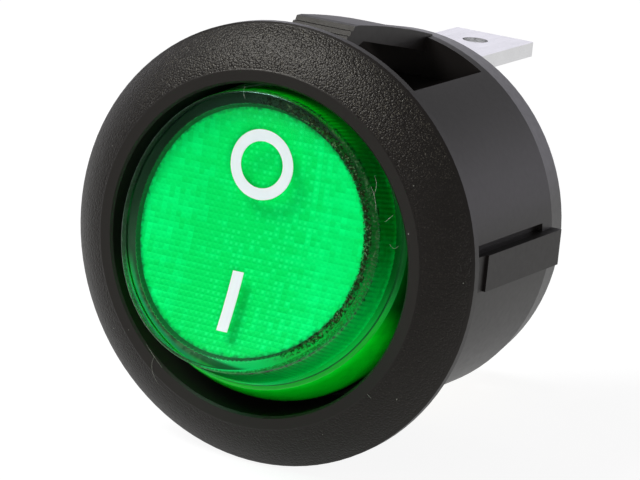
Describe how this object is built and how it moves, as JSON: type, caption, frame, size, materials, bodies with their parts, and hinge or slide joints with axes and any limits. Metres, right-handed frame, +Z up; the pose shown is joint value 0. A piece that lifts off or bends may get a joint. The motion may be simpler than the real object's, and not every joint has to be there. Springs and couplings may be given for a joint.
{
  "type": "panel rocker switch",
  "caption": "Round panel rocker switch with a hollowed, translucent illuminated rocker marked O and I, a flanged bezel, snap latches, a key rib and flat tab terminals.",
  "frame": {"origin": "centre of the bezel's seating face, on the axis of the barrel, in the plane of the panel's front", "axes": "+X to the right, +Y into the panel along the barrel, +Z up towards the O mark"},
  "size_m": [0.023, 0.0296, 0.023],
  "materials": {
    "housing_black": "fine spark texture on the bezel, satin on the barrel",
    "lens_green": "glossy translucent green plastic",
    "plunger_white": "smooth",
    "spring_steel": "bright wire",
    "copper": "bright copper strip",
    "silver": "bright",
    "tab_tin": "bright tinned",
    "tab_brass": "bright brass",
    "lamp_glass": "clear",
    "nickel": "dull",
    "lead_tin": "tinned wire",
    "sleeve_white": "woven sleeve",
    "resistor_tan": "lacquer",
    "solder": "bright"
  },
  "bodies": {
    "base": {"housing": "housing_black", "common_terminal": "tab_tin", "load_terminal": "tab_tin", "fixed_contact": "silver", "lamp_terminal": "tab_brass", "neon_bulb": "lamp_glass", "electrode_left": "nickel", "electrode_right": "nickel", "lamp_lead": "lead_tin", "link_lead": "lead_tin", "lead_sleeve": "sleeve_white", "resistor": "resistor_tan", "resistor_lead": "lead_tin", "solder_load": "solder", "solder_lamp": "solder"},
    "button": {"rocker": "lens_green"},
    "slider": {"plunger": "plunger_white", "plunger_spring": "spring_steel"},
    "bridge": {"seesaw_contact": "copper", "moving_contact": "silver"}
  },
  "joints": [
    {"name": "rocker_tilt", "type": "hinge", "parent": "base", "child": "button", "pos_m": [0, 0.0017, 0], "axis": [1, 0, 0], "range_deg": [0, 25]},
    {"name": "plunger_slide", "type": "slide", "parent": "button", "child": "slider", "axis": [0, 0.9763, -0.2164], "range_m": [-0.0006, 0], "stiffness_N_per_m": 25, "springref_m": 0.001, "deforming": ["plunger_spring"]},
    {"name": "bridge_rock", "type": "hinge", "parent": "base", "child": "bridge", "pos_m": [0, 0.0107, 0], "axis": [1, 0, 0], "range_deg": [-10, 0]}
  ],
  "couplings": [
    {"joint": "bridge_rock", "follows": "rocker_tilt", "ratio": -0.4}
  ]
}
